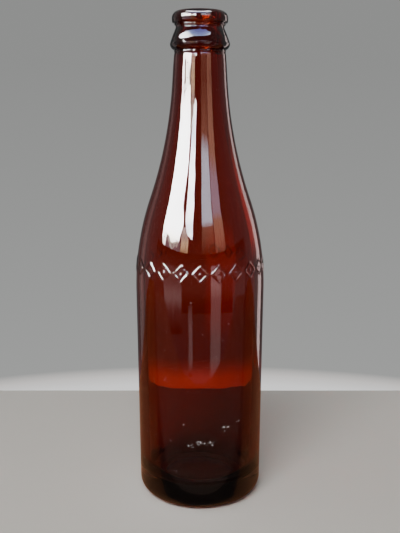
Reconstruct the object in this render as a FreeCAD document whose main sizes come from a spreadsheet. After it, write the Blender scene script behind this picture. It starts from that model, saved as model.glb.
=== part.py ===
import FreeCAD, Part
import Sketcher
import os
import math

# Amber glass soda bottle with a crown finish, in millimetres.
# +Z is the bottle's axis of revolution, pointing up; the origin is the centre
# of the ring the bottle stands on.  Two solids: the blown body, from the heel
# to the neck, and the tooled crown finish above the parting crease.

doc = FreeCAD.newDocument("soda_bottle")

# ---------------------------------------------------------------- dimensions
dims = doc.addObject("Spreadsheet::Sheet", "dims")

DRIVING = [
    # overall levels
    ("total_height", 240.2, "floor to the top of the lip"),
    ("seam_height", 221.0, "crease between neck and finish"),
    # outside of the body
    ("body_radius", 32.1, "radius where the shoulder begins"),
    ("base_radius", 31.3, "radius where the heel begins"),
    ("heel_round", 6.3, "outside rounding of the heel"),
    ("bearing_inner", 21.5, "inner radius of the ring it stands on"),
    ("pushup_depth", 2.8, "rise of the hollow under the base"),
    ("shoulder_start", 107.6, "height where the shoulder begins"),
    ("shoulder_arc", 134.5, "convex radius of the shoulder"),
    ("flare_angle", 19.3, "steepest slope from the vertical, degrees"),
    ("neck_arc", 211.0, "concave radius below the neck"),
    ("neck_angle", 3.5, "taper of the neck, degrees"),
    ("neck_round", 1.2, "rounding of the neck's top edge"),
    ("neck_round_angle", 55.0, "where that rounding stops, degrees"),
    # inside of the body
    ("wall", 3.6, "wall thickness at the shoulder"),
    ("mouth_radius", 8.0, "radius of the mouth and throat"),
    ("floor_height", 8.4, "glass thickness at the foot of the inside"),
    ("floor_rise", 1.2, "dome of the inside floor over the push-up"),
    ("floor_corner", 12.0, "inside rounding at the floor"),
    ("lower_wall", 4.4, "wall thickness just above the floor corner"),
    # crown finish
    ("lip_radius", 13.3, "radius of the locking ring"),
    ("lip_round", 3.6, "rounding of the lip's outer top"),
    ("lip_land", 1.3, "height of the straight band of the ring"),
    ("lip_under", 1.0, "rounding under the locking ring"),
    ("mouth_round", 1.3, "rounding at the mouth's edge"),
    ("waist_radius", 11.45, "narrowest radius below the ring"),
    ("waist_height", 232.9, "height of that narrowest point"),
    ("waist_arc", 3.0, "concave radius from the waist to the flare"),
    ("collar_slope", 23.0, "slope of the flare, degrees"),
    ("collar_radius", 14.25, "widest radius of the collar"),
    ("collar_height", 225.2, "height of that widest point"),
    ("collar_top_arc", 2.4, "rounding above the widest point"),
    ("collar_low_arc", 3.3, "rounding below the widest point"),
    ("crease_radius", 12.1, "radius of the crease"),
]

DERIVED = [
    # shoulder and neck, outside: two arcs that meet at the steepest slope
    ("shoulder_centre", "=body_radius - shoulder_arc"),
    ("flare_z", "=shoulder_start + shoulder_arc * sin(flare_angle)"),
    ("flare_r", "=shoulder_centre + shoulder_arc * cos(flare_angle)"),
    ("neck_low_z", "=flare_z + neck_arc * (sin(flare_angle) - sin(neck_angle))"),
    ("neck_low_r", "=flare_r - neck_arc * (cos(neck_angle) - cos(flare_angle))"),
    ("neck_top_z", "=seam_height - neck_round * (sin(neck_round_angle) - sin(neck_angle))"),
    ("neck_top_r", "=neck_low_r - (neck_top_z - neck_low_z) * tan(neck_angle)"),
    ("seam_r", "=neck_top_r - neck_round * (cos(neck_angle) - cos(neck_round_angle))"),
    # heel and underside
    ("bearing_outer", "=base_radius - heel_round"),
    ("pushup_arc", "=(bearing_inner * bearing_inner + pushup_depth * pushup_depth) / (2 * pushup_depth)"),
    # shoulder and neck, inside
    ("inner_shoulder_arc", "=shoulder_arc - wall"),
    ("inner_body_r", "=body_radius - wall"),
    ("inner_flare_z", "=shoulder_start + inner_shoulder_arc * sin(flare_angle)"),
    ("inner_flare_r", "=shoulder_centre + inner_shoulder_arc * cos(flare_angle)"),
    ("inner_neck_rise", "=(seam_height - inner_flare_z) * tan(neck_angle)"),
    ("inner_neck_arc", "=(inner_flare_r - mouth_radius - inner_neck_rise) / (cos(neck_angle) - cos(flare_angle) - (sin(flare_angle) - sin(neck_angle)) * tan(neck_angle))"),
    ("inner_neck_z", "=inner_flare_z + inner_neck_arc * (sin(flare_angle) - sin(neck_angle))"),
    ("inner_neck_r", "=inner_flare_r - inner_neck_arc * (cos(neck_angle) - cos(flare_angle))"),
    ("floor_edge_z", "=floor_height + floor_corner"),
    ("floor_wall_r", "=base_radius - lower_wall"),
    ("floor_edge_r", "=floor_wall_r - floor_corner"),
    ("floor_top_z", "=floor_height + floor_rise"),
    ("floor_arc", "=(floor_edge_r * floor_edge_r + floor_rise * floor_rise) / (2 * floor_rise)"),
    # crown finish
    ("lip_crest_r", "=lip_radius - lip_round"),
    ("lip_top_z", "=total_height - lip_round"),
    ("lip_low_z", "=lip_top_z - lip_land"),
    ("lip_under_r", "=lip_radius - lip_under"),
    ("lip_under_z", "=lip_low_z - lip_under"),
    ("mouth_crest_r", "=mouth_radius + mouth_round"),
    ("mouth_low_z", "=total_height - mouth_round"),
    ("notch_arc", "=((lip_under_r - waist_radius) * (lip_under_r - waist_radius) + (lip_under_z - waist_height) * (lip_under_z - waist_height)) / (2 * (lip_under_r - waist_radius))"),
    ("flare_top_z", "=waist_height - waist_arc * sin(collar_slope)"),
    ("flare_top_r", "=waist_radius + waist_arc * (1 - cos(collar_slope))"),
    ("flare_low_z", "=collar_height + collar_top_arc * sin(collar_slope)"),
    ("flare_low_r", "=collar_radius - collar_top_arc * (1 - cos(collar_slope))"),
    ("collar_low_centre", "=collar_radius - collar_low_arc"),
    ("collar_low_z", "=collar_height - sqrt(collar_low_arc * collar_low_arc - (crease_radius - collar_low_centre) * (crease_radius - collar_low_centre))"),
]

row = 1
for alias, value, words in DRIVING:
    dims.set("A%d" % row, alias)
    dims.set("B%d" % row, str(value))
    dims.setAlias("B%d" % row, alias)
    dims.set("C%d" % row, words)
    row += 1
for alias, formula in DERIVED:
    dims.set("A%d" % row, alias)
    dims.set("B%d" % row, formula)
    dims.setAlias("B%d" % row, alias)
    row += 1
doc.recompute()


def val(name):
    v = dims.get(name)
    return float(getattr(v, "Value", v))


def origin_plane(body, role):
    for feature in body.Origin.OriginFeatures:
        if feature.Role == role:
            return feature
    raise RuntimeError("no origin plane " + role)


def new_body(name, label):
    body = doc.addObject("PartDesign::Body", name)
    body.Label = label
    body.Placement = FreeCAD.Placement(FreeCAD.Vector(0, 0, 0), FreeCAD.Rotation(0, 0, 0, 1))
    return body


# A half section, drawn in the XZ plane with the sketch's x as the radius.
# corners: (radius alias or None for the axis, height alias or None for the floor)
# sides: one per corner, to the next: None for a straight side, otherwise
#        (radius alias, +1 or -1 for the side of the chord the arc bulges to,
#        looking from this corner to the next, +1 is left)
def half_section(sketch, corners, sides):
    pts = []
    for r_name, z_name in corners:
        pts.append((0.0 if r_name is None else val(r_name), 0.0 if z_name is None else val(z_name)))
    n = len(pts)
    ends = []
    for i in range(n):
        ax, ay = pts[i]
        bx, by = pts[(i + 1) % n]
        side = sides[i]
        if side is None:
            index = sketch.addGeometry(Part.LineSegment(FreeCAD.Vector(ax, ay, 0), FreeCAD.Vector(bx, by, 0)), False)
        else:
            radius = val(side[0])
            mx, my = (ax + bx) / 2.0, (ay + by) / 2.0
            dx, dy = bx - ax, by - ay
            chord = math.hypot(dx, dy)
            sag = radius - math.sqrt(max(radius * radius - chord * chord / 4.0, 0.0))
            nx, ny = -dy / chord, dx / chord
            mid = FreeCAD.Vector(mx + side[1] * sag * nx, my + side[1] * sag * ny, 0)
            index = sketch.addGeometry(Part.Arc(FreeCAD.Vector(ax, ay, 0), mid, FreeCAD.Vector(bx, by, 0)), False)
        start = sketch.getPoint(index, 1)
        near = math.hypot(start.x - ax, start.y - ay) < math.hypot(start.x - bx, start.y - by)
        ends.append((index, 1 if near else 2, 2 if near else 1))
    for i in range(n):
        j = (i + 1) % n
        sketch.addConstraint(Sketcher.Constraint("Coincident", ends[i][0], ends[i][2], ends[j][0], ends[j][1]))
    for i in range(n):
        r_name, z_name = corners[i]
        g, p = ends[i][0], ends[i][1]
        if r_name is None:
            sketch.addConstraint(Sketcher.Constraint("PointOnObject", g, p, -2))
        else:
            c = sketch.addConstraint(Sketcher.Constraint("DistanceX", -1, 1, g, p, pts[i][0]))
            sketch.setExpression("Constraints[%d]" % c, "dims." + r_name)
        if z_name is None:
            sketch.addConstraint(Sketcher.Constraint("PointOnObject", g, p, -1))
        else:
            c = sketch.addConstraint(Sketcher.Constraint("DistanceY", -1, 1, g, p, pts[i][1]))
            sketch.setExpression("Constraints[%d]" % c, "dims." + z_name)
        if sides[i] is not None:
            c = sketch.addConstraint(Sketcher.Constraint("Radius", g, val(sides[i][0])))
            sketch.setExpression("Constraints[%d]" % c, "dims." + sides[i][0])


def revolve(name, label, corners, sides):
    body = new_body(name, label)
    sketch = body.newObject("Sketcher::SketchObject", name + "_section")
    sketch.AttachmentSupport = [(origin_plane(body, "XZ_Plane"), "")]
    sketch.MapMode = "FlatFace"
    doc.recompute()
    half_section(sketch, corners, sides)
    doc.recompute()
    turn = body.newObject("PartDesign::Revolution", name + "_turned")
    turn.Profile = sketch
    turn.ReferenceAxis = (sketch, ["V_Axis"])
    turn.Angle = 360.0
    body.Tip = turn
    doc.recompute()
    return body


# -------------------------------------------------------------- blown body
bottle_body = revolve(
    "bottle_body",
    "bottle_body",
    [
        (None, "pushup_depth"),               # 0  centre of the hollow underneath
        ("bearing_inner", None),              # 1  ring it stands on
        ("bearing_outer", None),              # 2
        ("base_radius", "heel_round"),        # 3  heel
        ("body_radius", "shoulder_start"),    # 4  body
        ("flare_r", "flare_z"),               # 5  shoulder
        ("neck_low_r", "neck_low_z"),         # 6  foot of the neck
        ("neck_top_r", "neck_top_z"),         # 7  top of the neck
        ("seam_r", "seam_height"),            # 8  crease
        ("mouth_radius", "seam_height"),      # 9  throat
        ("inner_neck_r", "inner_neck_z"),     # 10
        ("inner_flare_r", "inner_flare_z"),   # 11
        ("inner_body_r", "shoulder_start"),   # 12
        ("floor_wall_r", "floor_edge_z"),     # 13
        ("floor_edge_r", "floor_height"),     # 14
        (None, "floor_top_z"),                # 15
    ],
    [
        ("pushup_arc", 1),
        None,
        ("heel_round", -1),
        None,
        ("shoulder_arc", -1),
        ("neck_arc", 1),
        None,
        ("neck_round", -1),
        None,
        None,
        ("inner_neck_arc", -1),
        ("inner_shoulder_arc", 1),
        None,
        ("floor_corner", 1),
        ("floor_arc", -1),
        None,
    ],
)

# ------------------------------------------------------------- crown finish
crown_finish = revolve(
    "crown_finish",
    "crown_finish",
    [
        ("mouth_radius", "seam_height"),      # 0  throat at the crease
        ("crease_radius", "seam_height"),     # 1  crease
        ("crease_radius", "collar_low_z"),    # 2
        ("collar_radius", "collar_height"),   # 3  widest point of the collar
        ("flare_low_r", "flare_low_z"),       # 4
        ("flare_top_r", "flare_top_z"),       # 5
        ("waist_radius", "waist_height"),     # 6  waist
        ("lip_under_r", "lip_under_z"),       # 7  under the locking ring
        ("lip_radius", "lip_low_z"),          # 8
        ("lip_radius", "lip_top_z"),          # 9  straight band of the ring
        ("lip_crest_r", "total_height"),      # 10 lip
        ("mouth_crest_r", "total_height"),    # 11
        ("mouth_radius", "mouth_low_z"),      # 12 mouth
    ],
    [
        None,
        None,
        ("collar_low_arc", -1),
        ("collar_top_arc", -1),
        None,
        ("waist_arc", 1),
        ("notch_arc", 1),
        ("lip_under", -1),
        None,
        ("lip_round", -1),
        None,
        ("mouth_round", -1),
        None,
    ],
)

doc.recompute()

# ------------------------------------------------------------------- export
for obj in doc.Objects:
    for flag in obj.State:
        if flag in ("Invalid", "Error"):
            raise RuntimeError("%s is %s" % (obj.Name, flag))

os.makedirs("parts", exist_ok=True)
for body in (bottle_body, crown_finish):
    shape = body.Shape
    if shape.isNull() or not shape.isValid():
        raise RuntimeError("bad shape: " + body.Label)
    if len(shape.Solids) != 1:
        raise RuntimeError("not one solid: " + body.Label)
    shape.exportStep("parts/%s.step" % body.Label)
    box = shape.BoundBox
    print(body.Label, "volume_mm3", round(shape.Volume, 1), "faces", len(shape.Faces),
          "z", round(box.ZMin, 3), round(box.ZMax, 3), "r", round(box.XMax, 3))
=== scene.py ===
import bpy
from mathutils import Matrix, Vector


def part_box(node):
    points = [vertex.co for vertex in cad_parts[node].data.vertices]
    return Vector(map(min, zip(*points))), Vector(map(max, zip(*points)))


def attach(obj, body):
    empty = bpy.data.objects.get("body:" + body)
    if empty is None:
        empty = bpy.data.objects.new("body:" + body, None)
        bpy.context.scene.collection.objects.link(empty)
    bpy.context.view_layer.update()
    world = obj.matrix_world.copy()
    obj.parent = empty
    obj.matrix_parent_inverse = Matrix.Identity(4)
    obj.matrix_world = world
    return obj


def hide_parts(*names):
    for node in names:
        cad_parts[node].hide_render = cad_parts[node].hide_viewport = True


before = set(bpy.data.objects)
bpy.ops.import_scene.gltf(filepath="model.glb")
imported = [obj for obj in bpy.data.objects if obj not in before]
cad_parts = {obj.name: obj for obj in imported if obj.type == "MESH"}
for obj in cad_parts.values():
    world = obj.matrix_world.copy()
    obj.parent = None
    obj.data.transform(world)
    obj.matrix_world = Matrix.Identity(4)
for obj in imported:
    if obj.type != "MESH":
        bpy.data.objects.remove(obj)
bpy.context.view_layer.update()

import math

import bpy
import numpy as np
from mathutils import Matrix, Vector

MM = 0.001
rng = np.random.default_rng(11)

# ---------------------------------------------------------------- profiles
# Every curve is (radius, height) in millimetres, going round the wall of the
# glass counter-clockwise as seen in the right-hand half section.


def arc(cx, cz, radius, a0, a1, step):
    """Points from angle a0 to a1 (degrees) about (cx, cz), about step apart."""
    n = max(2, int(math.ceil(abs(math.radians(a1 - a0)) * radius / step)) + 1)
    a = np.radians(np.linspace(a0, a1, n))
    return np.column_stack([cx + radius * np.cos(a), cz + radius * np.sin(a)])


def line(p, q, step):
    n = max(2, int(math.ceil(math.hypot(q[0] - p[0], q[1] - p[1]) / step)) + 1)
    t = np.linspace(0, 1, n)[:, None]
    return np.array(p)[None] * (1 - t) + np.array(q)[None] * t


def joined(*parts):
    """Runs the curves together, dropping points that fall on each other."""
    pts = []
    for part in parts:
        for p in part:
            if not pts or math.hypot(p[0] - pts[-1][0], p[1] - pts[-1][1]) > 0.02:
                pts.append((float(p[0]), float(p[1])))
    return np.array(pts)


def between(curve, z0, z1):
    return [i for i, p in enumerate(curve) if z0 <= p[1] <= z1]


body_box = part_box("bottle_body")
finish_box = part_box("crown_finish")
SEAM = float(body_box[1][2]) / MM            # height of the crease
TOP = float(finish_box[1][2]) / MM           # top of the lip
R_BODY = float(body_box[1][0]) / MM          # widest radius

FLARE, NECK = 19.3, 3.5                      # slopes, degrees
SH_Z, SH_ARC, NECK_ARC, WALL = 107.6, 134.5, 211.0, 3.6
sf, cf, sn, cn, tn = (math.sin(math.radians(FLARE)), math.cos(math.radians(FLARE)),
                      math.sin(math.radians(NECK)), math.cos(math.radians(NECK)), math.tan(math.radians(NECK)))
SH_C = R_BODY - SH_ARC
flare_z, flare_r = SH_Z + SH_ARC * sf, SH_C + SH_ARC * cf
neck_z, neck_r = flare_z + NECK_ARC * (sf - sn), flare_r - NECK_ARC * (cn - cf)
sr = math.sin(math.radians(55.0)) - sn
top_z = SEAM - 1.2 * sr
top_r = neck_r - (top_z - neck_z) * tn
seam_r = top_r - 1.2 * (cn - math.cos(math.radians(55.0)))

BASE_R, HEEL = 31.3, 6.3
BEAR_IN, PUSH = 21.5, 2.8
push_arc = (BEAR_IN ** 2 + PUSH ** 2) / (2 * PUSH)

BAND_LO, BAND_HI = 115.0, 126.0              # heights of the raised ornament

outer_low = joined(
    arc(0, PUSH - push_arc, push_arc, 90.0, 90.0 - math.degrees(math.asin((BEAR_IN - 1.2) / push_arc)), 1.9)[1:],
    line((BEAR_IN - 0.5, 0.12), (BEAR_IN + 0.3, 0.0), 0.4),
    line((BEAR_IN + 0.3, 0.0), (BASE_R - HEEL, 0.0), 1.2),
    arc(BASE_R - HEEL, HEEL, HEEL, -90, 0, 0.62),
    line((BASE_R, HEEL), (R_BODY, SH_Z), 3.4),
)
a_lo = math.degrees(math.asin((BAND_LO - SH_Z) / SH_ARC))
a_hi = math.degrees(math.asin((BAND_HI - SH_Z) / SH_ARC))
outer_shoulder_a = arc(SH_C, SH_Z, SH_ARC, 0.0, a_lo, 2.4)
outer_band = arc(SH_C, SH_Z, SH_ARC, a_lo, a_hi, 0.24)
outer_high = joined(
    arc(SH_C, SH_Z, SH_ARC, a_hi, FLARE, 2.0),
    arc(neck_r + NECK_ARC * cn, neck_z + NECK_ARC * sn, NECK_ARC, 180 + FLARE, 180 + NECK, 2.6),
    line((neck_r, neck_z), (top_r, top_z), 1.6),
    arc(top_r - 1.2 * cn, top_z - 1.2 * sn, 1.2, NECK, 55.0, 0.12),
)

# inside wall: from the crease down to the floor of the inside
IN_SH_ARC = SH_ARC - WALL
in_flare_z, in_flare_r = SH_Z + IN_SH_ARC * sf, SH_C + IN_SH_ARC * cf
MOUTH = 8.0
rise = (SEAM - in_flare_z) * tn
IN_NECK_ARC = (in_flare_r - MOUTH - rise) / (cn - cf - (sf - sn) * tn)
in_neck_z, in_neck_r = in_flare_z + IN_NECK_ARC * (sf - sn), in_flare_r - IN_NECK_ARC * (cn - cf)
FLOOR, FLOOR_CORNER, FLOOR_RISE, LOW_WALL = 8.4, 12.0, 1.2, 4.4
floor_edge_r = BASE_R - LOW_WALL - FLOOR_CORNER
floor_arc = (floor_edge_r ** 2 + FLOOR_RISE ** 2) / (2 * FLOOR_RISE)
inner = joined(
    line((MOUTH, SEAM), (in_neck_r, in_neck_z), 2.0),
    arc(in_neck_r + IN_NECK_ARC * cn, in_neck_z + IN_NECK_ARC * sn, IN_NECK_ARC, 180 + NECK, 180 + FLARE, 2.6),
    arc(SH_C, SH_Z, IN_SH_ARC, FLARE, 0.0, 2.6),
    line((R_BODY - WALL, SH_Z), (BASE_R - LOW_WALL, FLOOR + FLOOR_CORNER), 3.6),
    arc(floor_edge_r, FLOOR + FLOOR_CORNER, FLOOR_CORNER, 0, -90, 1.0),
    arc(0, FLOOR + FLOOR_RISE - floor_arc, floor_arc, 90 - math.degrees(math.asin(floor_edge_r / floor_arc)), 90, 1.8)[1:-1],
)

# the crown finish, all the way round, starting at the crease outside
LAP = 0.08                                   # the finish is melted this far into the neck
C_LOW, C_TOP, W_ARC, SLOPE = 3.3, 2.4, 3.0, 23.0
COL_R, COL_Z, WAIST_R, WAIST_Z = 14.25, 225.2, 11.45, 232.9
CREASE = 12.1
LIP_R, LIP_ROUND, LIP_LAND, LIP_UNDER, MOUTH_ROUND = 13.3, 3.6, 1.3, 1.0, 1.3
ss, cs = math.sin(math.radians(SLOPE)), math.cos(math.radians(SLOPE))
c_end = -math.degrees(math.acos((CREASE - (COL_R - C_LOW)) / C_LOW))
lip_z = TOP - LIP_ROUND
lip_low = lip_z - LIP_LAND
ux, uz = LIP_R - LIP_UNDER, lip_low - LIP_UNDER
notch = ((ux - WAIST_R) ** 2 + (uz - WAIST_Z) ** 2) / (2 * (ux - WAIST_R))
a_notch = math.degrees(math.asin((uz - WAIST_Z) / notch))
# the slope of the collar is slightly full, and turns quickly at its edge and at the waist
EDGE, TURN, TURN_Z = 0.30, 0.35, 232.48
tilt = math.radians(21.7)
slope_a = (COL_R - EDGE * (1 - math.cos(tilt)), COL_Z + EDGE * math.sin(tilt))
slope_b = (WAIST_R + TURN * (1 - math.cos(tilt)), TURN_Z - TURN * math.sin(tilt))
slope_t = np.linspace(0, 1, 20)
full_slope = np.array(slope_a)[None] * (1 - slope_t[:, None]) + np.array(slope_b)[None] * slope_t[:, None]
full_slope[:, 0] += 0.10 * np.sin(math.pi * slope_t)
hollow = ((ux - WAIST_R) ** 2 + (uz - TURN_Z) ** 2) / (2 * (ux - WAIST_R))
under = arc(WAIST_R + hollow, TURN_Z, hollow, 180, 180 - math.degrees(math.asin((uz - TURN_Z) / hollow)), 0.15)
finish_outer = joined(
    line((CREASE, SEAM - LAP), (CREASE, SEAM + 0.22), 0.15),
    arc(CREASE - 0.06, SEAM + 0.62, 0.40, -80, 80, 0.05),
    arc(COL_R - C_LOW, COL_Z, C_LOW, c_end, 0, 0.22)[1:],
    arc(COL_R - EDGE, COL_Z, EDGE, 0, 21.7, 0.03),
    full_slope,
    arc(WAIST_R + TURN, TURN_Z, TURN, 180 + 21.7, 180, 0.03),
    under[under[:, 1] < 233.30],
    arc(11.92, 233.72, 0.22, -60, 20, 0.05),
    line((12.12, 233.80), (11.95, 234.28), 0.1),
    arc(LIP_R - 0.07 - LIP_UNDER, lip_low, LIP_UNDER, -84, -3, 0.15),
    line((LIP_R - 0.07, lip_low + 0.1), (LIP_R, lip_z), 0.3),
    arc(LIP_R - LIP_ROUND, lip_z, LIP_ROUND, 0, 90, 0.25),
    line((LIP_R - LIP_ROUND, TOP), (MOUTH + MOUTH_ROUND, TOP), 0.3),
    arc(MOUTH + MOUTH_ROUND, TOP - MOUTH_ROUND, MOUTH_ROUND, 90, 180, 0.2),
    line((MOUTH, TOP - MOUTH_ROUND), (MOUTH, SEAM - LAP), 0.8),
)

# ------------------------------------------------------------------ surface


def smooth(x):
    x = np.clip(x, 0.0, 1.0)
    return x * x * (3.0 - 2.0 * x)


def stroke(d, half, soft):
    """Height 0..1 of a rounded raised line, d from its middle."""
    return smooth((half + soft - d) / (2.0 * soft))


CELLS = 22


def ornament(phi, z):
    """Height of the raised band: a row of lozenges, each with a pellet in it, all generic."""
    pitch = 2 * math.pi / CELLS
    q = phi / pitch
    k = np.floor(q + 0.5)
    s = (q - k) * pitch * 31.6               # along the surface, mm
    y = z - 120.3
    a, b = 3.45, 3.70
    g = (np.abs(s) / a + np.abs(y) / b - 1.0) / math.hypot(1 / a, 1 / b)
    lozenge = stroke(np.abs(g), 0.27, 0.24)
    pellet = stroke(np.hypot(s, y), 0.42, 0.26)
    return np.maximum(lozenge, pellet) * 0.32


def waves(phi, z, table):
    out = np.zeros(np.broadcast(phi, z).shape)
    for amp, m, wz, p0, p1 in table:
        out = out + amp * np.cos(m * phi + p0 + 0.35 * np.sin(2 * math.pi * z / wz + p1)) * (1 + 0.5 * np.sin(2 * math.pi * z / (wz * 1.7) + p0))
    return out


def wave_table(rows):
    return [(amp, m, wz, rng.uniform(0, 6.28), rng.uniform(0, 6.28)) for amp, m, wz in rows]


OUT_WAVES = wave_table([(0.050, 2, 260, ), (0.030, 3, 190), (0.016, 5, 150), (0.008, 9, 120), (0.004, 17, 160)])
IN_WAVES = wave_table([(0.34, 1, 420), (0.16, 2, 260), (0.10, 3, 200), (0.055, 5, 170), (0.040, 8, 150), (0.030, 13, 210), (0.022, 21, 260), (0.012, 34, 300)])
FIN_WAVES = wave_table([(0.045, 1, 90), (0.035, 2, 70), (0.018, 3, 50), (0.009, 5, 40)])


def fade(z, lo, hi):
    return smooth((z - lo) / (hi - lo))


def outer_offset(phi, r, z):
    wall = fade(z, 2.0, 16.0) * (1 - fade(z, SEAM - 9, SEAM - 1.5))
    w = waves(phi, z, OUT_WAVES) * wall * np.clip(r / R_BODY, 0.35, 1)
    seam = np.zeros_like(w)
    for side in (0.5 * math.pi, -0.5 * math.pi):
        d = np.abs((phi - side + math.pi) % (2 * math.pi) - math.pi) * r
        seam = np.maximum(seam, np.exp(-(d / 0.22) ** 2))
    seam = seam * 0.085 * fade(z, 1.0, 3.5) * (1 - fade(z, SEAM - 6, SEAM - 2))
    return w + seam


def inner_offset(phi, r, z):
    wall = fade(z, 12.0, 34.0) * (1 - fade(z, SEAM - 26, SEAM - 3))
    return waves(phi, z, IN_WAVES) * wall * np.clip((r / (R_BODY - WALL)) ** 1.3, 0.2, 1)


# angles, closer together at the two mould lines
def angles(n):
    base = np.linspace(0, 2 * math.pi, n, endpoint=False)
    extra = []
    for side in (0.5 * math.pi, 1.5 * math.pi):
        base = base[np.abs(base - side) > 0.031]
        extra.append(side + np.linspace(-0.030, 0.030, 13))
    return np.sort(np.concatenate([base] + extra))


class Lathe:
    """Rings of points joined into one closed surface."""

    def __init__(self):
        self.verts, self.faces, self.count, self.chips = [], [], 0, []

    def ring(self, phi, r, z):
        r = np.broadcast_to(r, phi.shape)
        z = np.broadcast_to(z, phi.shape)
        self.verts.append(np.column_stack([r * np.sin(phi), -r * np.cos(phi), z]))
        ids = np.arange(self.count, self.count + len(phi))
        self.count += len(phi)
        return ids

    def point(self, x, y, z):
        self.verts.append(np.array([[x, y, z]]))
        self.count += 1
        return self.count - 1

    def quads(self, a, b):
        n = len(a)
        j = (np.arange(n) + 1) % n
        self.faces.append(np.column_stack([a, a[j], b[j], b]))

    def coarse_to_fine(self, a, b):
        """a has n points and b has 2n, at the same angles and the ones between."""
        n = len(a)
        j = (np.arange(n) + 1) % n
        m0, m1, m2 = b[0::2], b[1::2], b[0::2][j]
        self.faces.append(np.column_stack([a, m1, m0]))
        self.faces.append(np.column_stack([a, a[j], m1]))
        self.faces.append(np.column_stack([a[j], m2, m1]))

    def fine_to_coarse(self, a, b):
        n = len(b)
        j = (np.arange(n) + 1) % n
        m0, m1, m2 = a[0::2], a[1::2], a[0::2][j]
        self.faces.append(np.column_stack([m0, m1, b]))
        self.faces.append(np.column_stack([m1, b[j], b]))
        self.faces.append(np.column_stack([m1, m2, b[j]]))

    def fan(self, centre, ring, up):
        n = len(ring)
        j = (np.arange(n) + 1) % n
        c = np.full(n, centre)
        self.faces.append(np.column_stack([c, ring, ring[j]]) if up else np.column_stack([c, ring[j], ring]))

    def bubble(self, centre, radii, up):
        """A small hole in the glass: an ellipsoid whose faces look inwards."""
        nu, nv = 14, 9
        t = np.linspace(0, 2 * math.pi, nu, endpoint=False)
        start = self.count
        rings = []
        axis = np.array(up, float)
        axis /= np.linalg.norm(axis)
        side = np.cross(axis, [0, 0, 1.0]) if abs(axis[2]) < 0.9 else np.cross(axis, [1.0, 0, 0])
        side /= np.linalg.norm(side)
        other = np.cross(axis, side)
        c = np.array(centre, float)
        lo = self.point(*(c - axis * radii[1]))
        for i in range(1, nv):
            e = -math.pi / 2 + math.pi * i / nv
            p = c[None] + axis[None] * radii[1] * math.sin(e) + radii[0] * math.cos(e) * (np.cos(t)[:, None] * side[None] + np.sin(t)[:, None] * other[None])
            self.verts.append(p)
            rings.append(np.arange(self.count, self.count + nu))
            self.count += nu
        hi = self.point(*(c + axis * radii[1]))
        j = (np.arange(nu) + 1) % nu
        for a, b in zip(rings[:-1], rings[1:]):
            self.faces.append(np.column_stack([a, b, b[j], a[j]]))
        self.faces.append(np.column_stack([np.full(nu, lo), rings[0], rings[0][j]]))
        self.faces.append(np.column_stack([np.full(nu, hi), rings[-1][j], rings[-1]]))

    def chip(self, phi, z, r, size, turn):
        """A scuff: a small rough star of broken glass lying on the surface."""
        n = 7
        out = np.array([math.sin(phi), -math.cos(phi), 0.0])
        side = np.array([math.cos(phi), math.sin(phi), 0.0])
        up = np.array([0.0, 0.0, 1.0])
        c = out * r + up * z
        mid = self.point(*(c + out * 0.06))
        t = turn + np.arange(n) * 2 * math.pi / n
        k = size * (0.55 + 0.45 * np.abs(np.sin(1.7 * np.arange(n) + turn * 3)))
        p = c[None] + side[None] * (k * np.cos(t))[:, None] + up[None] * (k * np.sin(t) * 0.8)[:, None] + out[None] * 0.012
        self.verts.append(p)
        ring = np.arange(self.count, self.count + n)
        self.count += n
        self.chips += [(mid, int(ring[i]), int(ring[(i + 1) % n])) for i in range(n)]

    def build(self, name):
        v = np.concatenate(self.verts) * MM
        me = bpy.data.meshes.new(name)
        faces = []
        for f in self.faces:
            faces.extend(f.tolist())
        whole = len(faces)
        faces.extend(self.chips)
        me.from_pydata(v.tolist(), [], faces)
        me.update()
        for i in range(whole, len(faces)):
            me.polygons[i].material_index = 1
        me.shade_smooth()
        ob = bpy.data.objects.new(name, me)
        bpy.context.scene.collection.objects.link(ob)
        return ob


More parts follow.
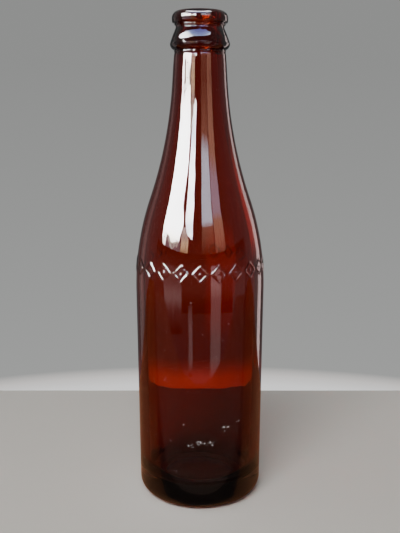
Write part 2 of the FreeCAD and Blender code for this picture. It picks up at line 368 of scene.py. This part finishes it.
def build_body():
    g = Lathe()
    phi = angles(352)
    fine = np.empty(2 * len(phi))
    fine[0::2] = phi
    nxt = np.concatenate([phi[1:], [phi[0] + 2 * math.pi]])
    fine[1::2] = 0.5 * (phi + nxt)

    def out_ring(p, r, z, relief=False):
        off = outer_offset(p, r, np.full(p.shape, z))
        if relief:
            off = off + ornament(p, np.full(p.shape, z))
        return g.ring(p, r + off, z)

    bottom = g.point(0, 0, PUSH)
    prev = None
    for r, z in outer_low:
        cur = out_ring(phi, r, z)
        if prev is None:
            g.fan(bottom, cur, False)
        else:
            g.quads(prev, cur)
        prev = cur
    for r, z in outer_shoulder_a[1:-1]:
        cur = out_ring(phi, r, z)
        g.quads(prev, cur)
        prev = cur
    first = True
    for r, z in outer_band:
        cur = out_ring(fine, r, z, True)
        if first:
            g.coarse_to_fine(prev, cur)
            first = False
        else:
            g.quads(prev, cur)
        prev = cur
    first = True
    for r, z in outer_high[1:]:
        cur = out_ring(phi, r, z)
        if first:
            g.fine_to_coarse(prev, cur)
            first = False
        else:
            g.quads(prev, cur)
        prev = cur
    # across the top of the neck, then down the inside
    for r in np.linspace(outer_high[-1][0], MOUTH, 6)[1:-1]:
        cur = g.ring(phi, r, SEAM)
        g.quads(prev, cur)
        prev = cur
    for r, z in inner:
        off = inner_offset(phi, r, np.full(phi.shape, z))
        cur = g.ring(phi, r + off, z)
        g.quads(prev, cur)
        prev = cur
    floor_mid = g.point(0, 0, FLOOR + FLOOR_RISE)
    g.fan(floor_mid, prev, True)

    # seeds: small drawn-out bubbles caught in the wall
    seeds = rng.uniform(0, 1, (26, 4))
    for u0, u1, u2, u3 in seeds:
        z = 26 + 80 * u0
        p = 2 * math.pi * u1
        r = 29.9 + 0.5 * (u2 - 0.5)
        size = 0.13 + 0.17 * u3 ** 2
        g.bubble((r * math.sin(p), -r * math.cos(p), z), (size, size * (1.3 + 1.6 * u2)), (0.12 * (u0 - 0.5), 0.0, 1.0))

    # scuffs: a few clusters on the front low on the body, stray ones all round
    def wall_r(p, z):
        base = BASE_R + (R_BODY - BASE_R) * (z - HEEL) / (SH_Z - HEEL)
        return base + float(outer_offset(np.array([p]), base, np.array([z]))[0])

    clusters = [(-14, 46.0, 2, 0.5, 0.32), (-8, 35.8, 5, 1.9, 0.34), (1, 36.8, 7, 1.6, 0.36), (10.5, 36.4, 6, 1.5, 0.34),
                (24, 44.0, 7, 1.5, 0.38), (36, 45.6, 2, 0.4, 0.36), (-27, 36.5, 2, 0.6, 0.24), (14, 79, 3, 2.2, 0.20),
                (17, 88, 2, 2.0, 0.18), (-8, 107, 1, 0.2, 0.20), (25, 96, 1, 0.2, 0.20), (-22, 20, 3, 2.5, 0.20),
                (96, 40, 5, 2.5, 0.28), (128, 52, 4, 2.0, 0.26), (187, 38, 7, 3.0, 0.32), (214, 46, 4, 2.0, 0.28), (262, 41, 5, 2.4, 0.28)]
    for a, z, n, spread, size in clusters:
        for u in rng.normal(0, 1, (2 * n, 4)):
            p, zz = math.radians(a) + u[0] * spread / 32, z + u[1] * spread * 0.45
            g.chip(p, zz, wall_r(p, zz), size * (0.34 + 0.32 * min(abs(u[2]), 2)), u[3])
    for u in rng.uniform(0, 1, (46, 4)):
        p, zz = 2 * math.pi * u[0], 12 + 92 * u[1]
        g.chip(p, zz, wall_r(p, zz), 0.09 + 0.09 * u[2], 6 * u[3])
    return g.build("glass_body")


def build_finish():
    g = Lathe()
    phi = np.linspace(0, 2 * math.pi, 320, endpoint=False)
    first = prev = None
    for r, z in finish_outer[:-1]:
        zz = np.full(phi.shape, z)
        edge = fade(zz, SEAM + 0.4, SEAM + 3.0) * np.clip((r - MOUTH) / 3.0, 0, 1)
        sag = waves(phi, zz, FIN_WAVES) * edge
        lift = 0.06 * np.cos(phi + 1.1) * fade(zz, SEAM + 3, SEAM + 12) * np.clip((r - MOUTH) / 3.0, 0, 1)
        cur = g.ring(phi, r + sag, np.minimum(z + lift, TOP))
        if first is None:
            first = cur
        else:
            g.quads(prev, cur)
        prev = cur
    last_r, last_z = finish_outer[-1]
    cur = g.ring(phi, last_r, last_z)
    g.quads(prev, cur)
    prev = cur
    for r in np.linspace(last_r, finish_outer[0][0], 6)[1:-1]:
        cur = g.ring(phi, r, last_z)
        g.quads(prev, cur)
        prev = cur
    g.quads(prev, first)
    return g.build("glass_finish")


# ---------------------------------------------------------------- materials


def node(tree, kind, at=(0, 0), **props):
    n = tree.nodes.new(kind)
    n.location = at
    for k, v in props.items():
        setattr(n, k, v)
    return n


def glass_material(name, wear_lo, wear_hi, density):
    m = bpy.data.materials.new(name)
    m.use_nodes = True
    t = m.node_tree
    t.nodes.clear()
    L = t.links.new
    out = node(t, "ShaderNodeOutputMaterial", (900, 0))
    bsdf = node(t, "ShaderNodeBsdfPrincipled", (600, 0))
    bsdf.inputs["Base Color"].default_value = (1.0, 1.0, 1.0, 1.0)
    bsdf.inputs["IOR"].default_value = 1.52
    bsdf.inputs["Metallic"].default_value = 0.0
    bsdf.inputs["Transmission Weight"].default_value = 1.0
    L(bsdf.outputs["BSDF"], out.inputs["Surface"])
    vol = node(t, "ShaderNodeVolumeAbsorption", (600, -420))
    vol.inputs["Color"].default_value = (0.800, 0.270, 0.0, 1.0)
    vol.inputs["Density"].default_value = density
    L(vol.outputs["Volume"], out.inputs["Volume"])

    co = node(t, "ShaderNodeTexCoord", (-1100, 0))
    # handling marks: finely rubbed glass, rougher in scattered patches
    rub = node(t, "ShaderNodeTexNoise", (-700, 120))
    rub.inputs["Scale"].default_value = 900.0
    rub.inputs["Detail"].default_value = 6.0
    rub.inputs["Roughness"].default_value = 0.65
    L(co.outputs["Object"], rub.inputs["Vector"])
    ramp = node(t, "ShaderNodeMapRange", (-450, 120))
    ramp.inputs["From Min"].default_value = 0.45
    ramp.inputs["From Max"].default_value = 0.80
    ramp.inputs["To Min"].default_value = 0.0
    ramp.inputs["To Max"].default_value = 1.0
    L(rub.outputs["Fac"], ramp.inputs["Value"])
    rough = node(t, "ShaderNodeMapRange", (-150, 120))
    rough.inputs["To Min"].default_value = wear_lo
    rough.inputs["To Max"].default_value = wear_hi
    L(ramp.outputs["Result"], rough.inputs["Value"])
    L(rough.outputs["Result"], bsdf.inputs["Roughness"])

    # the skin of old glass: faint ripples drawn out along the bottle
    stretch = node(t, "ShaderNodeMapping", (-900, -260))
    stretch.inputs["Scale"].default_value = (1.0, 1.0, 0.16)
    L(co.outputs["Object"], stretch.inputs["Vector"])
    ripple = node(t, "ShaderNodeTexNoise", (-700, -260))
    ripple.inputs["Scale"].default_value = 210.0
    ripple.inputs["Detail"].default_value = 2.0
    L(stretch.outputs["Vector"], ripple.inputs["Vector"])
    bump = node(t, "ShaderNodeBump", (300, -260))
    bump.inputs["Strength"].default_value = 0.5
    bump.inputs["Distance"].default_value = 0.00003
    L(ripple.outputs["Fac"], bump.inputs["Height"])
    drawn = node(t, "ShaderNodeMapping", (-900, -560))
    drawn.inputs["Scale"].default_value = (1.0, 1.0, 0.012)
    L(co.outputs["Object"], drawn.inputs["Vector"])
    lines = node(t, "ShaderNodeTexNoise", (-700, -560))
    lines.inputs["Scale"].default_value = 620.0
    lines.inputs["Detail"].default_value = 3.0
    L(drawn.outputs["Vector"], lines.inputs["Vector"])
    bump2 = node(t, "ShaderNodeBump", (450, -260))
    bump2.inputs["Strength"].default_value = 0.5
    bump2.inputs["Distance"].default_value = 0.000012
    L(lines.outputs["Fac"], bump2.inputs["Height"])
    L(bump.outputs["Normal"], bump2.inputs["Normal"])
    L(bump2.outputs["Normal"], bsdf.inputs["Normal"])
    return m


def scuff_material(name):
    m = bpy.data.materials.new(name)
    m.use_nodes = True
    t = m.node_tree
    b = t.nodes["Principled BSDF"]
    b.inputs["Roughness"].default_value = 0.7
    b.inputs["IOR"].default_value = 1.52
    co = node(t, "ShaderNodeTexCoord", (-900, 0))
    no = node(t, "ShaderNodeTexNoise", (-700, 0))
    no.inputs["Scale"].default_value = 2500.0
    t.links.new(co.outputs["Object"], no.inputs["Vector"])
    cr = node(t, "ShaderNodeValToRGB", (-450, 0))
    cr.color_ramp.elements[0].position = 0.3
    cr.color_ramp.elements[0].color = (0.55, 0.47, 0.45, 1)
    cr.color_ramp.elements[1].position = 0.6
    cr.color_ramp.elements[1].color = (0.95, 0.93, 0.92, 1)
    t.links.new(no.outputs["Fac"], cr.inputs["Fac"])
    t.links.new(cr.outputs["Color"], b.inputs["Base Color"])
    return m


glass_body_mat = glass_material("amber_glass_body", 0.012, 0.045, 760.0)
glass_finish_mat = glass_material("amber_glass_finish", 0.012, 0.05, 980.0)

body = build_body()
finish = build_finish()
body.data.materials.append(glass_body_mat)
body.data.materials.append(scuff_material("scuffed_glass"))
finish.data.materials.append(glass_finish_mat)
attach(body, "root")
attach(finish, "root")
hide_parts("bottle_body")
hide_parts("crown_finish")

# -------------------------------------------------------------------- stage


def stage_material(name, colour, rough=0.6, emit=0.0):
    m = bpy.data.materials.new(name)
    m.use_nodes = True
    t = m.node_tree
    b = t.nodes["Principled BSDF"]
    b.inputs["Roughness"].default_value = rough
    b.inputs["Specular IOR Level"].default_value = 0.0
    co = node(t, "ShaderNodeTexCoord", (-900, 0))
    no = node(t, "ShaderNodeTexNoise", (-700, 0))
    no.inputs["Scale"].default_value = 40.0
    no.inputs["Detail"].default_value = 3.0
    t.links.new(co.outputs["Object"], no.inputs["Vector"])
    cr = node(t, "ShaderNodeValToRGB", (-450, 0))
    cr.color_ramp.elements[0].color = (*[c * 0.975 for c in colour], 1)
    cr.color_ramp.elements[1].color = (*colour, 1)
    t.links.new(no.outputs["Fac"], cr.inputs["Fac"])
    t.links.new(cr.outputs["Color"], b.inputs["Base Color"])
    return m


def box_mesh(name, lo, hi, mat, bevel=0.0):
    me = bpy.data.meshes.new(name)
    x0, y0, z0 = lo
    x1, y1, z1 = hi
    v = [(x0, y0, z0), (x1, y0, z0), (x1, y1, z0), (x0, y1, z0), (x0, y0, z1), (x1, y0, z1), (x1, y1, z1), (x0, y1, z1)]
    f = [(0, 3, 2, 1), (4, 5, 6, 7), (0, 1, 5, 4), (1, 2, 6, 5), (2, 3, 7, 6), (3, 0, 4, 7)]
    me.from_pydata(v, [], f)
    ob = bpy.data.objects.new(name, me)
    bpy.context.scene.collection.objects.link(ob)
    me.materials.append(mat)
    if bevel:
        b = ob.modifiers.new("bevel", "BEVEL")
        b.width = bevel
        b.segments = 4
    return ob


def emitter(name, verts, strength, colour=(1, 1, 1), camera=False, diffuse=False, transmission=True, glossy=True, fall=None):
    me = bpy.data.meshes.new(name)
    me.from_pydata(verts, [], [(0, 1, 2, 3)])
    ob = bpy.data.objects.new(name, me)
    bpy.context.scene.collection.objects.link(ob)
    m = bpy.data.materials.new(name)
    m.use_nodes = True
    t = m.node_tree
    t.nodes.clear()
    out = node(t, "ShaderNodeOutputMaterial", (400, 0))
    em = node(t, "ShaderNodeEmission", (100, 0))
    em.inputs["Color"].default_value = (*colour, 1)
    em.inputs["Strength"].default_value = strength
    t.links.new(em.outputs["Emission"], out.inputs["Surface"])
    me.materials.append(m)
    ob.visible_camera = camera
    ob.visible_diffuse = diffuse
    ob.visible_transmission = transmission
    ob.visible_glossy = glossy
    ob.visible_shadow = False
    return ob


def facing_panel(name, azimuth, elevation, distance, width, height, strength, target=(0, 0, 0.15), **kw):
    """A flat panel seen from target in that direction. Azimuth 0 is the camera's side (-Y), + is to the right."""
    a, e = math.radians(azimuth), math.radians(elevation)
    d = Vector((math.sin(a) * math.cos(e), -math.cos(a) * math.cos(e), math.sin(e)))
    c = Vector(target) + d * distance
    right = d.cross(Vector((0, 0, 1))).normalized()
    up = right.cross(d).normalized()
    vs = [tuple(c + right * sx * width / 2 + up * sy * height / 2) for sx, sy in ((-1, -1), (1, -1), (1, 1), (-1, 1))]
    return emitter(name, vs, strength, **kw)


pale = stage_material("pale_top", (0.66, 0.63, 0.59), 0.55)
top = box_mesh("pale_floor", (-1.15, -1.15, -0.03), (1.15, 0.134, 0.0), pale, 0.002)
top.visible_glossy = False
top.visible_transmission = False

# warm cards on the floor: one seen through the glass, and a row mirrored by it, dark where it passes under the front
for nm, y0, y1, colour, mirrored in (("warm_card_through", -0.300, 0.134, (0.34, 0.13, 0.075), False),
                                     ("warm_card_back", -0.0305, 0.134, (0.42, 0.19, 0.10), True),
                                     ("dark_card", -0.0465, -0.0305, (0.12, 0.085, 0.075), True),
                                     ("warm_card_front", -0.200, -0.0465, (0.36, 0.25, 0.21), True)):
    card = box_mesh(nm, (-0.80, y0, -0.0005), (0.80, y1, 0.0003), stage_material(nm, colour, 0.8))
    card.visible_camera = False
    card.visible_diffuse = False
    card.visible_shadow = False
    card.visible_glossy = mirrored
    card.visible_transmission = not mirrored

# far below: pale to the eye, dark in the glass
lower = box_mesh("lower_floor", (-3.0, -3.0, -0.82), (3.0, 3.0, -0.80), stage_material("lower_floor", (0.60, 0.58, 0.55), 0.9))
lower.visible_glossy = False
lower.visible_transmission = False
# painted shade: a near-black sheet that only the glass mirrors and shows through, standing in for a room floor in
# shadow
ground = box_mesh("dark_ground", (-3.0, -3.0, -0.86), (3.0, 3.0, -0.84), stage_material("dark_ground", (0.04, 0.04, 0.04), 0.9))
ground.visible_camera = False
ground.visible_diffuse = False


def glow_surface(name, verts, faces, stops, lo, hi, strength, ragged=0.0, side=None):
    """A surface that glows, its colour running with height through the stops."""
    me = bpy.data.meshes.new(name)
    me.from_pydata(verts, [], faces)
    ob = bpy.data.objects.new(name, me)
    bpy.context.scene.collection.objects.link(ob)
    m = bpy.data.materials.new(name)
    m.use_nodes = True
    t = m.node_tree
    t.nodes.clear()
    L = t.links.new
    out = node(t, "ShaderNodeOutputMaterial", (900, 0))
    em = node(t, "ShaderNodeEmission", (600, 0))
    em.inputs["Strength"].default_value = strength
    co = node(t, "ShaderNodeTexCoord", (-900, 0))
    sep = node(t, "ShaderNodeSeparateXYZ", (-700, 0))
    L(co.outputs["Object"], sep.inputs["Vector"])
    height = sep.outputs["Z"]
    if ragged:
        no = node(t, "ShaderNodeTexNoise", (-700, -250))
        no.inputs["Scale"].default_value = 20.0
        no.inputs["Detail"].default_value = 4.0
        tall = node(t, "ShaderNodeMapping", (-820, -250))
        tall.inputs["Scale"].default_value = (1.0, 1.0, 0.2)
        L(co.outputs["Object"], tall.inputs["Vector"])
        L(tall.outputs["Vector"], no.inputs["Vector"])
        sub = node(t, "ShaderNodeMath", (-520, -250), operation="SUBTRACT")
        sub.inputs[1].default_value = 0.5
        L(no.outputs["Fac"], sub.inputs[0])
        mul = node(t, "ShaderNodeMath", (-380, -250), operation="MULTIPLY_ADD")
        mul.inputs[1].default_value = ragged
        L(sub.outputs[0], mul.inputs[0])
        L(height, mul.inputs[2])
        height = mul.outputs[0]
    span = node(t, "ShaderNodeMapRange", (-250, 0))
    span.inputs["From Min"].default_value = lo
    span.inputs["From Max"].default_value = hi
    L(height, span.inputs["Value"])
    ramp = node(t, "ShaderNodeValToRGB", (0, 0))
    L(span.outputs["Result"], ramp.inputs["Fac"])
    els = ramp.color_ramp.elements
    pos = [(z - lo) / (hi - lo) for z, c in stops]
    els[0].position, els[0].color = pos[0], (*stops[0][1], 1)
    els[1].position, els[1].color = pos[-1], (*stops[-1][1], 1)
    for q, (z, c) in list(zip(pos, stops))[1:-1]:
        e = els.new(q)
        e.color = (*c, 1)
    L(ramp.outputs["Color"], em.inputs["Color"])
    if side is not None:
        sm = node(t, "ShaderNodeMapRange", (0, -300))
        sm.inputs["From Min"].default_value = side[0]
        sm.inputs["From Max"].default_value = side[1]
        sm.inputs["To Min"].default_value = side[2] * strength
        sm.inputs["To Max"].default_value = side[3] * strength
        L(sep.outputs[side[4]], sm.inputs["Value"])
        L(sm.outputs["Result"], em.inputs["Strength"])
    L(em.outputs["Emission"], out.inputs["Surface"])
    me.materials.append(m)
    return ob


def on_cylinder(az0, az1, z0, z1, d, n=24):
    """A curved panel round the bottle. Azimuth 0 is in front (-Y), + is to the right (+X)."""
    v, f = [], []
    for i in range(n + 1):
        a = math.radians(az0 + (az1 - az0) * i / n)
        v += [(d * math.sin(a), -d * math.cos(a), z0), (d * math.sin(a), -d * math.cos(a), z1)]
    for i in range(n):
        f.append((2 * i, 2 * i + 2, 2 * i + 3, 2 * i + 1))
    return v, f


def soft_panel(name, az0, az1, low, high, d, stops, strength, ragged=0.0, glossy=True, n=48):
    """A curved panel between two edges, each a height or a list of (azimuth, height)."""
    def edge(e, a):
        if isinstance(e, (int, float)):
            return float(e)
        return float(np.interp(a, [p[0] for p in e], [p[1] for p in e]))

    v, f = [], []
    for i in range(n + 1):
        a = az0 + (az1 - az0) * i / n
        x, y = d * math.sin(math.radians(a)), -d * math.cos(math.radians(a))
        v += [(x, y, edge(low, a)), (x, y, max(edge(high, a), edge(low, a) + 0.001))]
    for i in range(n):
        f.append((2 * i, 2 * i + 2, 2 * i + 3, 2 * i + 1))
    ob = glow_surface(name, v, f, stops, stops[0][0], stops[-1][0], strength, ragged)
    ob.visible_camera = False
    ob.visible_diffuse = False
    ob.visible_glossy = glossy
    ob.visible_transmission = not glossy
    ob.visible_shadow = False
    return ob


def grey(v, tint=(1, 1, 1)):
    return (v * tint[0], v * tint[1], v * tint[2])


# a wall all the way round, glowing softly: lighter at its foot and behind the bottle
WALL_R, WALL_LO, WALL_HI = 1.7, -0.80, 2.6
v, f = on_cylinder(0, 360, WALL_LO, WALL_HI, WALL_R, 128)
cool = (1.0, 1.015, 1.0)
backdrop = glow_surface(
    "backdrop", v, f,
    [(-0.80, grey(0.36)), (-0.66, grey(0.45)), (-0.630, grey(1.0)), (-0.592, grey(1.0)), (-0.556, grey(0.74, (1, 0.95, 0.92))), (-0.535, grey(0.38, cool)), (0.3, grey(0.29, cool)), (2.6, grey(0.26, cool))],
    WALL_LO, WALL_HI, 1.0, side=(-WALL_R, WALL_R * 0.5, 0.40, 1.0, "Y"))

# the same wall as the glass shows it: a little darker just above the bright foot
v, f = on_cylinder(110, 250, -0.80, 0.6, 1.62, 64)
through = glow_surface(
    "backdrop_through", v, f,
    [(-0.80, grey(0.20)), (-0.615, grey(0.25)), (-0.600, grey(1.0)), (-0.560, grey(0.95)), (-0.530, grey(0.45)), (-0.505, grey(0.235, cool)), (-0.42, grey(0.22, cool)), (-0.30, grey(0.30, cool)), (0.6, grey(0.30, cool))],
    -0.80, 0.6, 1.0)
through.visible_camera = False
through.visible_diffuse = False
through.visible_glossy = False
through.visible_shadow = False

w = bpy.data.worlds.new("studio")
bpy.context.scene.world = w
w.use_nodes = True
w.node_tree.nodes["Background"].inputs["Color"].default_value = (0.9, 0.95, 1.0, 1)
w.node_tree.nodes["Background"].inputs["Strength"].default_value = 0.35


def area(name, loc, target, size, size_y, power, colour=(1, 1, 1), glossy=True):
    d = bpy.data.lights.new(name, "AREA")
    d.shape = "RECTANGLE"
    d.size, d.size_y = size, size_y
    d.energy = power
    d.color = colour
    o = bpy.data.objects.new(name, d)
    bpy.context.scene.collection.objects.link(o)
    o.location = loc
    o.rotation_mode = "QUATERNION"
    o.rotation_quaternion = (Vector(target) - Vector(loc)).to_track_quat("-Z", "Y")
    o.visible_camera = False
    o.visible_glossy = glossy
    o.visible_transmission = False
    return o


# soft light for the floor, high and in front, so the bottle's shadow falls behind it
area("key", (-0.25, -0.85, 1.05), (0, 0.05, 0.05), 0.8, 0.6, 15.0, (1.0, 0.985, 0.96), glossy=False)

# what the glass mirrors: tall soft boxes in front, to the left and to the right
D = 0.50
white = (1.0, 0.99, 1.0)
cream = (1.0, 0.93, 0.84)
blue = (0.80, 0.84, 1.0)
deep = (0.42, 0.48, 1.0)
warm = (1.0, 0.62, 0.48)
pink = (1.0, 0.80, 0.78)
tan = (1.0, 0.56, 0.38)
ragged_foot = [(-77, 0.42), (-74.0, 0.36), (-71.0, 0.34), (-69.2, 0.33), (-67.6, 0.38), (-66.5, 0.48), (-62.3, 0.455), (-57.5, 0.410), (-53.1, 0.405), (-48.3, 0.425),
               (-43.6, 0.455), (-40.5, 0.455), (-38.5, 0.51), (-36.5, 0.575), (-34.5, 0.64)]
box_head = [(-77, 1.28), (-41.5, 1.28), (-40.5, 0.95), (-37.0, 0.86), (-34.5, 0.80)]
slot_foot = [(-30.5, 0.80), (-28.0, 0.66), (-26.0, 0.60), (-22.7, 0.56), (-19.5, 0.53), (-16.0, 0.52), (-14.5, 0.57)]
slot_head = [(-30.5, 1.28), (-14.5, 1.28)]
FAR = 1.5
soft_panel("left_box", -77, -34.5, ragged_foot, box_head, FAR,
           [(0.33, grey(0.75, cream)), (0.46, grey(0.95, cream)), (0.56, grey(1.0, white)), (1.06, grey(1.0, white)), (1.28, grey(0.6, white))], 125.0, 0.10)
soft_panel("left_slot", -30.5, -14.5, slot_foot, slot_head, FAR,
           [(0.50, grey(0.35, cream)), (0.57, grey(0.75, white)), (0.68, grey(0.55, blue)), (0.80, grey(0.80, white)), (0.92, grey(1.0, white)), (1.09, grey(0.8, blue)), (1.28, grey(0.5, blue))], 110.0, 0.10)
fringe_foot = [(a, z - 0.055 - 0.035 * math.sin(a * 0.9) * math.cos(a * 0.37)) for a, z in ragged_foot[:-2]]
soft_panel("left_fringe", -75.5, -39, fringe_foot, ragged_foot, FAR,
           [(0.20, grey(0.5, (1, 0.80, 0.66))), (0.35, grey(0.7, (1, 0.84, 0.70))), (0.60, grey(1.0, cream))], 17.0, 0.25)
soft_panel("left_cream", -36.0, -22.0, 0.13, 0.66, FAR,
           [(0.13, grey(0.0)), (0.22, grey(0.06, (1, 0.5, 0.25))), (0.32, grey(0.35, (1, 0.55, 0.28))), (0.44, grey(1.0, (1, 0.66, 0.38))), (0.52, grey(0.6, (1, 0.66, 0.55))), (0.66, grey(1.0, (1, 0.80, 0.72)))], 13.0, 0.20)
soft_panel("left_haze", -73, -37, -0.10, 0.46, FAR,
           [(-0.10, grey(0.15, (1, .8, .8))), (0.15, grey(0.35, (1, .78, .82))), (0.32, grey(0.8, (0.9, 0.75, 0.9))), (0.46, grey(1.0, (0.95, 0.8, 0.85)))], 2.6, 0.30)
soft_panel("right_box", 4.5, 27, 0.20, 1.28, FAR,
           [(0.20, grey(0.0)), (0.30, grey(0.02, tan)), (0.40, grey(0.06, tan)), (0.50, grey(0.12, tan)), (0.68, grey(0.20, tan)), (0.78, grey(1.0, blue)), (1.10, grey(1.0, blue)), (1.28, grey(0.6, blue))], 12.0, 0.12)
soft_panel("right_side", 28.5, 48, 0.16, 1.24, FAR,
           [(0.16, grey(0.0)), (0.24, grey(0.08, tan)), (0.36, grey(0.35, tan)), (0.50, grey(0.65, tan)), (0.74, grey(0.8, tan)), (0.85, grey(0.9, (1, 0.72, 0.90))), (1.02, grey(0.9, (1, 0.75, 0.95))), (1.24, grey(0.5, (1, 0.75, 0.95)))], 5.2, 0.25)
soft_panel("rim_right", 124.5, 139, -0.34, 0.60, 0.9, [(-0.34, grey(0.6, pink)), (-0.2, grey(1.0, pink)), (0.60, grey(1.0, pink))], 2.6)
soft_panel("rim_left", -129, -119, -0.30, 0.60, 0.9, [(-0.30, grey(0.5, pink)), (-0.1, grey(1.0, pink)), (0.60, grey(0.8, pink))], 0.65)
soft_panel("rim_through", 124, 139, 0.00, 0.29, 0.9, [(0.00, grey(0.2, pink)), (0.10, grey(1.0, pink)), (0.25, grey(1.0, pink)), (0.29, grey(0.05, pink))], 1.15, 0.0, False)
# a paler patch of wall seen through the right half of the body
for k, (a0, level) in enumerate(((178.9, 0.08), (177.9, 0.15), (176.8, 0.21))):
    soft_panel("right_through_%d" % k, 171.0, a0, -0.44, -0.06, 1.58 - 0.02 * k,
               [(-0.44, grey(0.22, cool)), (-0.37, grey(0.24 + 0.6 * level, pink)), (-0.27, grey(0.27 + level, pink)), (-0.14, grey(0.28 + level, pink)), (-0.06, grey(0.29, cool))], 1.0, 0.0, False)
# black flags either side draw the dark outline of the glass
soft_panel("flag_left", -171, -137, -0.60, 0.70, 1.2, [(-0.60, grey(1.0)), (0.70, grey(1.0))], 0.11)
soft_panel("flag_right", 142, 172, -0.60, 0.70, 1.2, [(-0.60, grey(1.0)), (0.70, grey(1.0))], 0.10)
arch_top = [(-98.7, 0.524), (-89.0, 0.584), (-69.3, 0.682), (-35.7, 0.801), (1.7, 0.852), (32.8, 0.805), (53.1, 0.711)]
arch_foot = [(-98.8, 0.519), (-93.1, 0.531), (-60.5, 0.625), (-35.4, 0.688), (-14.3, 0.722), (1.4, 0.717), (28.4, 0.712), (54.3, 0.685)]
soft_panel("sky_arch", -99.6, 54.5, arch_foot, arch_top, D,
           [(0.53, grey(0.7, white)), (0.635, grey(0.6, white)), (0.675, grey(0.30, (0.93, 0.95, 1.0))), (0.70, grey(0.15, (0.72, 0.80, 1.0))), (0.73, grey(0.10, (0.40, 0.52, 1.0))), (0.80, grey(0.075, (0.28, 0.38, 1.0))), (0.92, grey(0.045, (0.30, 0.32, 1.0)))], 110.0, 0.03)
soft_panel("sky_top", -105, 85, 1.00, 1.75, D, [(1.00, grey(0.75, blue)), (1.3, grey(1.0, white)), (1.75, grey(0.8, blue))], 30.0, 0.0)
soft_panel("low_left", -64, -31, -0.06, 0.13, D, [(-0.06, grey(0.0)), (-0.035, grey(0.2, pink)), (-0.01, grey(0.9, pink)), (0.02, grey(0.9, pink)), (0.06, grey(0.45, pink)), (0.13, grey(0.35, pink))], 1.7, 0.02)
soft_panel("low_right", 19, 36, -0.115, 0.14, D, [(-0.115, grey(0.2)), (-0.10, grey(0.5, pink)), (-0.01, grey(0.5, pink)), (0.05, grey(1.0, pink)), (0.14, grey(1.0, pink))], 2.5, 0.02)
soft_panel("low_side", 58, 84, -0.12, 0.10, D, [(-0.12, grey(0.1)), (-0.05, grey(0.8, pink)), (0.10, grey(0.8, pink))], 0.6, 0.02)
soft_panel("low_thin", -20.0, -13.5, -0.11, -0.02, D, [(-0.11, grey(0.0)), (-0.09, grey(1.0, pink)), (-0.05, grey(1.0, pink)), (-0.02, grey(0.2))], 1.3, 0.01)
soft_panel("front_haze", -85, 90, -0.05, 0.20, 0.55, [(-0.05, grey(0.0)), (0.03, grey(0.9, pink)), (0.12, grey(1.0, pink)), (0.20, grey(0.2, pink))], 0.24, 0.02)

# ------------------------------------------------------------------- camera
cam_data = bpy.data.cameras.new("camera")
cam = bpy.data.objects.new("camera", cam_data)
bpy.context.scene.collection.objects.link(cam)
F_PX, PITCH, DIST, HEIGHT = 760.0, 11.99, 0.37368, 0.19687
cam_data.sensor_fit = "AUTO"
cam_data.sensor_width = 36.0
cam_data.lens = F_PX * 36.0 / 533.0
cam_data.clip_start, cam_data.clip_end = 0.01, 20.0
cam.location = (0.0, -DIST, HEIGHT)
p = math.radians(PITCH)
fwd = Vector((0, math.cos(p), -math.sin(p)))
cam.rotation_mode = "QUATERNION"
cam.rotation_quaternion = fwd.to_track_quat("-Z", "Y")
bpy.context.scene.camera = cam
